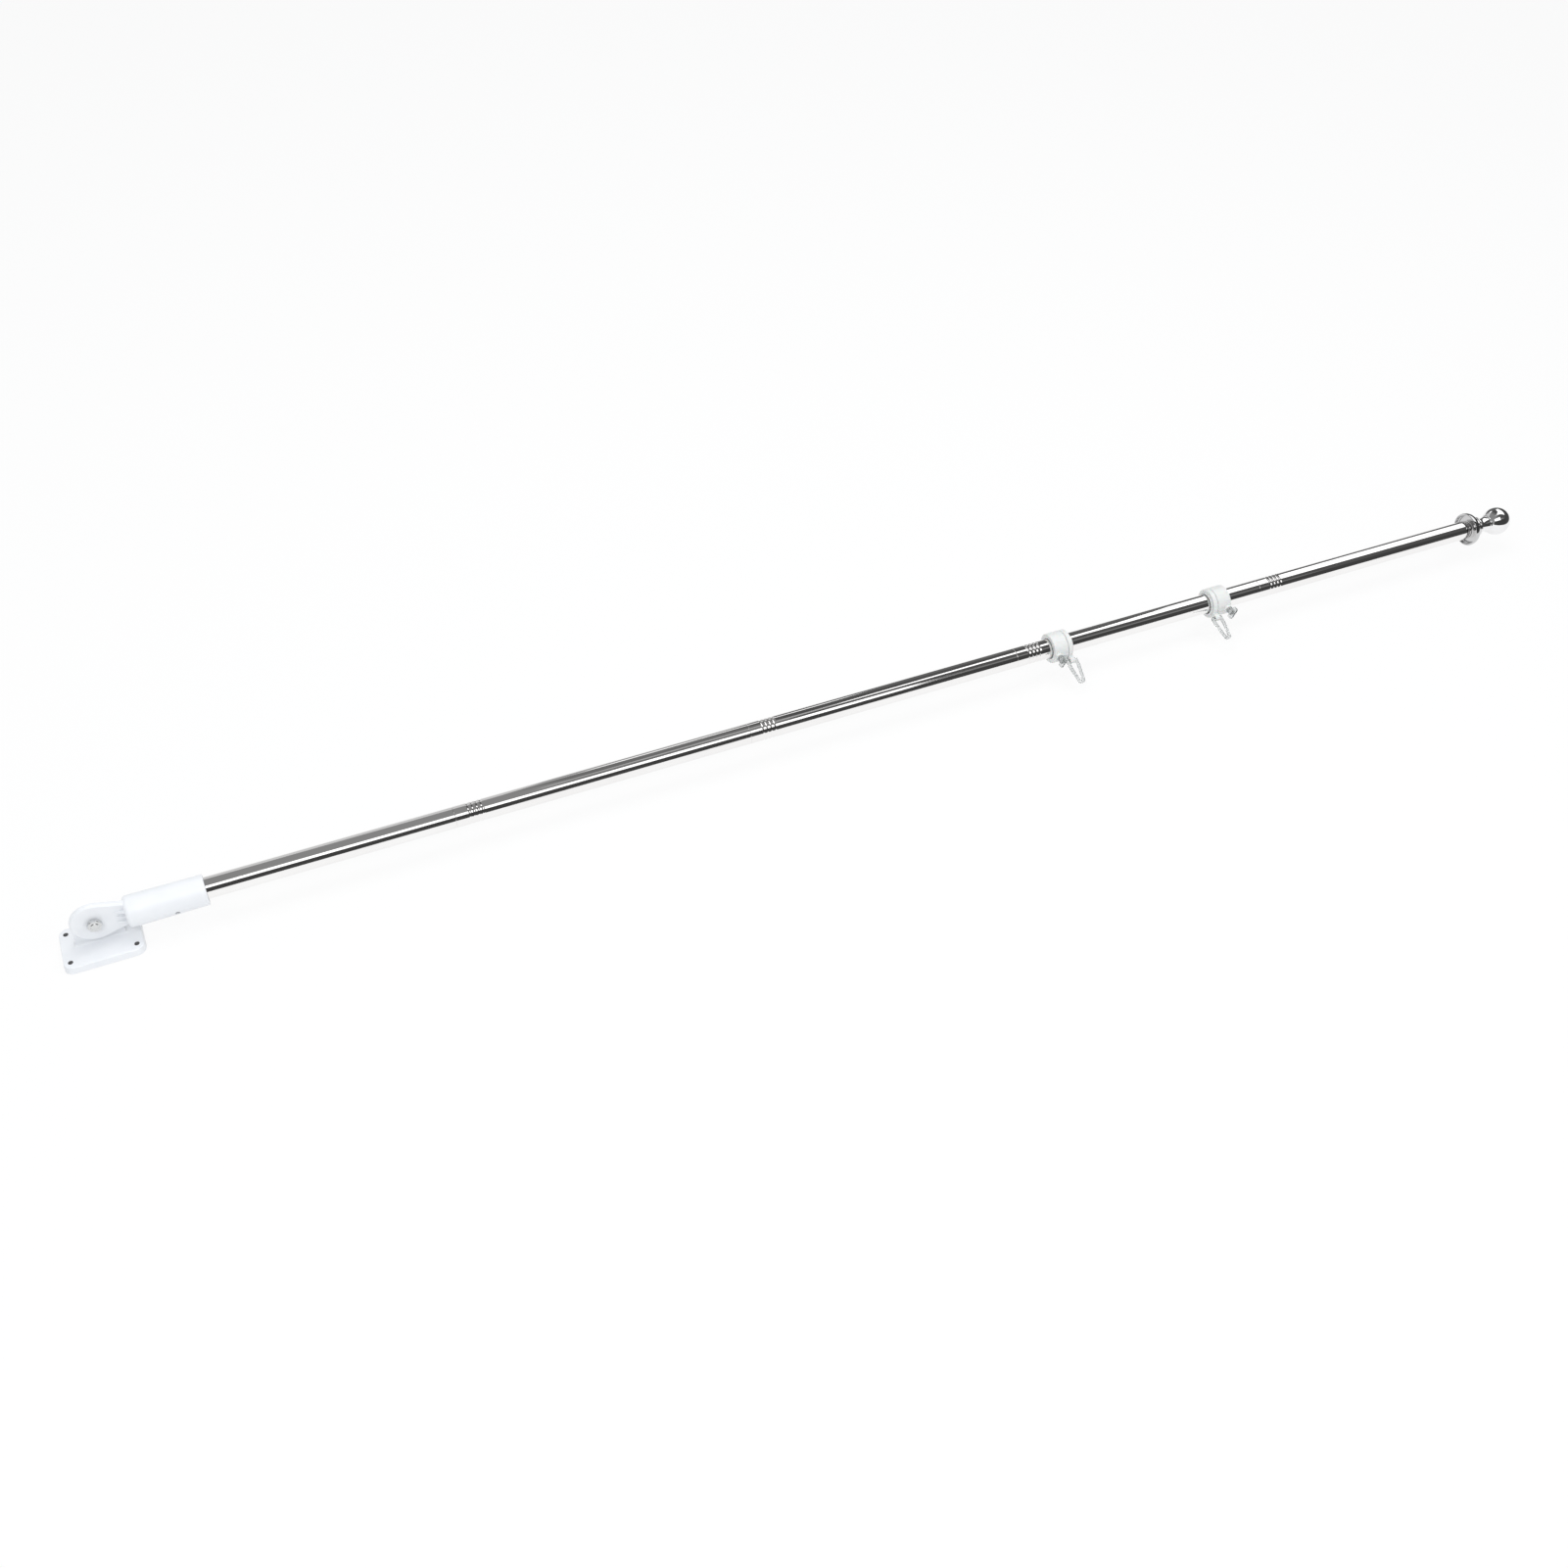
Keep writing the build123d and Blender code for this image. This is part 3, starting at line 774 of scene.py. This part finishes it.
def seen_directly(tree):
    """A socket that is 1 for rays that show the backdrop: camera, mirror and see-through rays."""
    path = tree.nodes.new("ShaderNodeLightPath")
    socket = path.outputs["Is Camera Ray"]
    for other in ("Is Glossy Ray", "Is Transmission Ray"):
        either = tree.nodes.new("ShaderNodeMath")
        either.operation = "MAXIMUM"
        tree.links.new(socket, either.inputs[0])
        tree.links.new(path.outputs[other], either.inputs[1])
        socket = either.outputs[0]
    return socket


def make_world():
    """Soft even light, with plain white where the backdrop shows."""
    world = bpy.data.worlds.new("studio")
    scene.world = world
    world.use_nodes = True
    tree = world.node_tree
    soft = tree.nodes["Background"]
    soft.inputs["Color"].default_value = SKY_COLOUR
    soft.inputs["Strength"].default_value = SKY_STRENGTH
    white = tree.nodes.new("ShaderNodeBackground")
    white.inputs["Color"].default_value = WHITE
    white.inputs["Strength"].default_value = 1.0
    mix = tree.nodes.new("ShaderNodeMixShader")
    tree.links.new(seen_directly(tree), mix.inputs["Fac"])
    tree.links.new(soft.outputs[0], mix.inputs[1])
    tree.links.new(white.outputs[0], mix.inputs[2])
    tree.links.new(mix.outputs[0], tree.nodes["World Output"].inputs["Surface"])


def make_floor():
    """A white floor that glows where it is seen, and still takes a faint shadow."""
    half = FLOOR_HALF
    height = cad_box[0].z - FLOOR_DROP
    bm = bmesh.new()
    plan = ((-half, -half), (half, -half), (half, half), (-half, half))
    bm.faces.new([bm.verts.new((x, y, height)) for x, y in plan])
    floor = mesh_object("floor", bm)
    shader = Shader("floor").set(Roughness=0.9, Base_Color=FLOOR_COLOUR, Specular_IOR_Level=0.1)
    tree = shader.tree
    glow = tree.nodes.new("ShaderNodeEmission")
    share = tree.nodes.new("ShaderNodeMath")
    share.operation = "MULTIPLY"
    share.inputs[1].default_value = FLOOR_GLOW
    mix = tree.nodes.new("ShaderNodeMixShader")
    tree.links.new(seen_directly(tree), share.inputs[0])
    tree.links.new(share.outputs[0], mix.inputs["Fac"])
    tree.links.new(shader.surface.outputs[0], mix.inputs[1])
    tree.links.new(glow.outputs[0], mix.inputs[2])
    tree.links.new(mix.outputs[0], tree.nodes["Material Output"].inputs["Surface"])
    floor.data.materials.append(shader.material)


def panel(name, corners, level):
    """A flat studio card that only polished and clear surfaces see."""
    bm = bmesh.new()
    bm.faces.new([bm.verts.new(corner) for corner in corners])
    card = mesh_object(name, bm)
    material = bpy.data.materials.new(name)
    material.use_nodes = True
    tree = material.node_tree
    tree.nodes.remove(tree.nodes["Principled BSDF"])
    glow = tree.nodes.new("ShaderNodeEmission")
    glow.inputs["Color"].default_value = (level, level, level, 1)
    tree.links.new(glow.outputs[0], tree.nodes["Material Output"].inputs["Surface"])
    card.data.materials.append(material)
    card.visible_camera = False
    card.visible_diffuse = False
    card.visible_shadow = False


def long_wall(name, start, end, y, level):
    """An upright card along the pole."""
    panel(name, ((start, y, 0), (end, y, 0), (end, y, ROOM_TOP), (start, y, ROOM_TOP)), level)


def end_wall(name, x, level):
    """An upright card across the pole."""
    corners = ((x, ROOM_FRONT, 0), (x, ROOM_BACK, 0), (x, ROOM_BACK, ROOM_TOP), (x, ROOM_FRONT, ROOM_TOP))
    panel(name, corners, level)


def flat_card(name, start, end, z, level):
    """A level card from the front of the room to its back."""
    corners = ((start, ROOM_FRONT, z), (end, ROOM_FRONT, z), (end, ROOM_BACK, z), (start, ROOM_BACK, z))
    panel(name, corners, level)


def make_cards():
    """The room of cards and the softboxes that give the polished metal its bands."""
    long_wall("front_wall", ROOM_START, ROOM_END, ROOM_FRONT, level=0.05)
    for stretch, (start, end) in ROOM_STRETCHES.items():
        long_wall(f"back_wall_{stretch}", start, end, ROOM_BACK, BACK_WALL_LEVELS[stretch])
    for stretch, (start, end) in ROOM_STRETCHES.items():
        flat_card(f"ceiling_{stretch}", start, end, ROOM_TOP, CEILING_LEVELS[stretch])
    end_wall("end_wall_far", ROOM_END, level=0.06)
    flat_card("floor_edge", FLOOR_EDGE_START, ROOM_END, FLOOR_EDGE_HEIGHT, level=0.12)
    end_wall("end_wall_near", ROOM_START, level=0.3)
    panel("overhead_softbox", [(x, y, OVERHEAD_HEIGHT) for x, y in OVERHEAD_PLAN], level=1.5)
    panel("overhead_start", [(x, y, OVERHEAD_HEIGHT) for x, y in OVERHEAD_START_PLAN], level=0.42)
    panel("back_softbox", [(x, BACK_SOFTBOX_PLACE, z) for x, z in BACK_SOFTBOX_FACE], level=1.4)
    panel("front_softbox", FRONT_SOFTBOX, level=1.5)
    panel("front_softbox_end", FRONT_SOFTBOX_END, level=0.2)
    panel("back_window", BACK_WINDOW, level=1.2)


def area_light(name, place, target, size, power):
    """A soft lamp that mirrors don't show."""
    data = bpy.data.lights.new(name, "AREA")
    data.shape = "RECTANGLE"
    data.size, data.size_y = size
    data.energy = power
    lamp = bpy.data.objects.new(name, data)
    scene.collection.objects.link(lamp)
    lamp.location = place
    lamp.rotation_euler = (Vector(target) - Vector(place)).to_track_quat("-Z", "Y").to_euler()
    lamp.visible_glossy = False


def make_lights():
    area_light("key", place=(-0.6, -1.6, 2.2), target=(0.6, 0, 0), size=(1.6, 1.2), power=26)
    area_light("fill", place=(2.4, -1.4, 2.0), target=(1.2, 0, 0), size=(1.6, 1.2), power=16)
    area_light("top", place=(0.9, 0.6, 2.6), target=(0.9, 0, 0), size=(2.6, 1.4), power=26)


scene.view_settings.view_transform = "Standard"
finish_cad_nodes()
make_pole()
make_flange()
make_neck()
make_ball()
make_flag_rings()
make_camera()
make_world()
make_floor()
make_cards()
make_lights()
